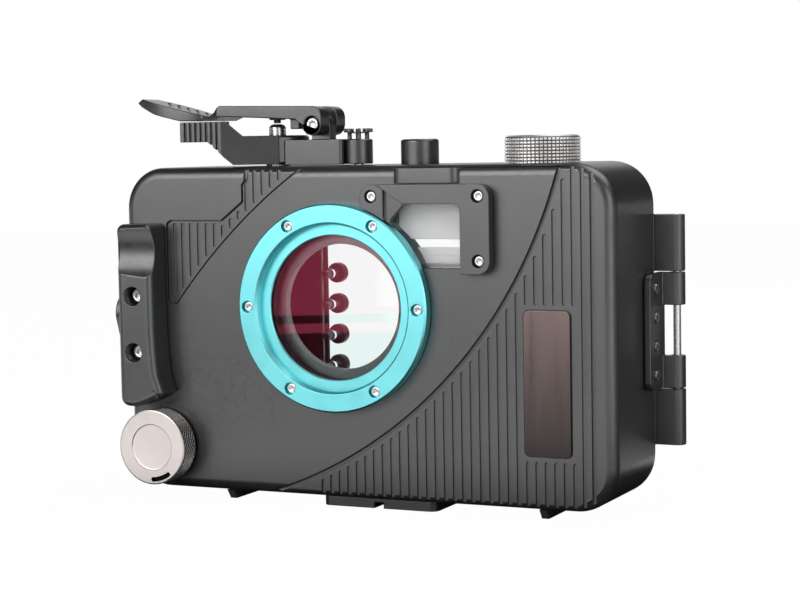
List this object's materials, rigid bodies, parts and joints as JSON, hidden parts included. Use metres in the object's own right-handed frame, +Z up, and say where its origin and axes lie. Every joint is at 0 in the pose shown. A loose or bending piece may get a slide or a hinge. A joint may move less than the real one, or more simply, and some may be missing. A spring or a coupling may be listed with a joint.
{
  "type": "underwater camera housing",
  "caption": "Metal underwater case for a compact camera: glass port in a threaded ring, flash window, hinged rear door, side latch, and a shutter lever, zoom lever, knobs and dials on top.",
  "frame": {"origin": "centre of the port glass's front face, on the lens axis", "axes": "+X to the hinge side, which is the viewer's right when facing the port; +Y from the port to the rear door; +Z up to the controls"},
  "size_m": [0.183, 0.0571, 0.1282],
  "materials": {
    "black_anodised": "satin black hard anodised, machined",
    "blue_green_anodised": "bright anodised, turned",
    "clear_window": "clear, polished",
    "seal_rubber": "soft, greased",
    "steel": "bright stainless",
    "black_steel": "black oxide",
    "badge_metal": "satin, bare",
    "silver_satin": "satin silver anodised",
    "black_plastic": "matte black",
    "grey_plastic": "matte grey",
    "frosted_plastic": "frosted white",
    "sensor_plastic": "matte dark grey"
  },
  "bodies": {
    "housing": {"front_shell": "black_anodised", "flash_frame": "black_anodised", "grip": "black_anodised", "lever_bracket": "black_anodised", "tripod_block": "black_anodised", "hinge_leaf": "black_anodised", "port_ring": "blue_green_anodised", "port_glass": "clear_window", "flash_glass": "clear_window", "port_o_ring": "seal_rubber", "main_o_ring": "seal_rubber", "release_seat": "seal_rubber", "port_ring_screw_1": "steel", "port_ring_screw_2": "steel", "port_ring_screw_3": "steel", "port_ring_screw_4": "steel", "port_ring_screw_5": "steel", "port_ring_screw_6": "steel", "flash_frame_screw_1": "steel", "flash_frame_screw_2": "steel", "flash_frame_screw_3": "steel", "grip_screw_upper": "steel", "grip_screw_lower": "steel", "shutter_pivot_screw": "steel", "hinge_pin": "steel", "latch_pin": "steel", "badge_plate": "badge_metal", "rail_left": "black_plastic", "rail_right": "black_plastic", "hinge_screw_1": "black_steel", "hinge_screw_2": "black_steel", "hinge_screw_3": "black_steel", "hinge_screw_4": "black_steel", "camera_cradle": "grey_plastic", "leak_sensor": "sensor_plastic", "flash_diffuser": "frosted_plastic"},
    "shutter_lever": {"shutter_lever": "black_anodised", "shutter_adjuster": "black_plastic"},
    "plunger": {"shutter_plunger": "steel"},
    "zoom": {"zoom_lever": "black_anodised", "zoom_shaft": "steel"},
    "selector": {"selector_knob": "black_anodised", "selector_shaft": "steel"},
    "power": {"power_button": "black_anodised"},
    "dial": {"mode_dial": "silver_satin", "mode_dial_shaft": "steel"},
    "release_spindle": {"release_spindle": "steel"},
    "release_cap": {"release_cap": "silver_satin"},
    "door": {"rear_door": "black_anodised", "rear_window": "clear_window", "rear_window_frame": "black_anodised"},
    "door_button_1": {"door_button_1": "black_plastic"},
    "door_button_2": {"door_button_2": "black_plastic"},
    "door_button_3": {"door_button_3": "black_plastic"},
    "door_button_4": {"door_button_4": "black_plastic"},
    "latch": {"latch_lever": "black_anodised", "latch_claw": "black_anodised"}
  },
  "joints": [
    {"name": "shutter_press", "type": "hinge", "parent": "housing", "child": "shutter_lever", "pos_m": [-0.0111, 0.016, 0.0561], "axis": [0, -1, 0], "range_deg": [0, 5], "stiffness_Nm_per_rad": 3, "springref_deg": -2.86},
    {"name": "plunger_travel", "type": "slide", "parent": "housing", "child": "plunger", "axis": [0, 0, -1], "range_m": [0, 0.0015]},
    {"name": "zoom_turn", "type": "hinge", "parent": "housing", "child": "zoom", "pos_m": [-0.0276, 0.016, 0.0485], "axis": [0, 0, 1], "range_deg": [-8, 12], "stiffness_Nm_per_rad": 0.1},
    {"name": "selector_turn", "type": "hinge", "parent": "housing", "child": "selector", "pos_m": [0.0019, 0.014, 0.0476], "axis": [0, 0, 1], "continuous": true},
    {"name": "power_press", "type": "slide", "parent": "housing", "child": "power", "axis": [0, 0, -1], "range_m": [0, 0.0012], "stiffness_N_per_m": 800, "springref_m": -0.0005},
    {"name": "mode_dial_turn", "type": "hinge", "parent": "housing", "child": "dial", "pos_m": [0.0629, 0.014, 0.047], "axis": [0, 0, 1], "continuous": true},
    {"name": "release_lift", "type": "slide", "parent": "housing", "child": "release_spindle", "axis": [0, -1, 0], "range_m": [0, 0.0015]},
    {"name": "release_turn", "type": "hinge", "parent": "release_spindle", "child": "release_cap", "pos_m": [-0.0622, -0.005, -0.045], "axis": [0, -1, 0], "range_deg": [0, 360]},
    {"name": "door_swing", "type": "hinge", "parent": "housing", "child": "door", "pos_m": [0.096, 0.04, -0.0082], "axis": [0, 0, -1], "range_deg": [0, 150]},
    {"name": "door_button_1_press", "type": "slide", "parent": "door", "child": "door_button_1", "axis": [0, -1, 0], "range_m": [0, 0.0012], "stiffness_N_per_m": 600},
    {"name": "door_button_2_press", "type": "slide", "parent": "door", "child": "door_button_2", "axis": [0, -1, 0], "range_m": [0, 0.0012], "stiffness_N_per_m": 600},
    {"name": "door_button_3_press", "type": "slide", "parent": "door", "child": "door_button_3", "axis": [0, -1, 0], "range_m": [0, 0.0012], "stiffness_N_per_m": 600},
    {"name": "door_button_4_press", "type": "slide", "parent": "door", "child": "door_button_4", "axis": [0, -1, 0], "range_m": [0, 0.0012], "stiffness_N_per_m": 600},
    {"name": "latch_turn", "type": "hinge", "parent": "housing", "child": "latch", "pos_m": [-0.08, 0.013, -0.004], "axis": [-1, 0, 0], "range_deg": [0, 90]}
  ],
  "couplings": [
    {"joint": "plunger_travel", "follows": "shutter_press", "m_per_rad": 0.0165},
    {"joint": "release_lift", "follows": "release_turn", "m_per_rad": 0.0002387}
  ]
}
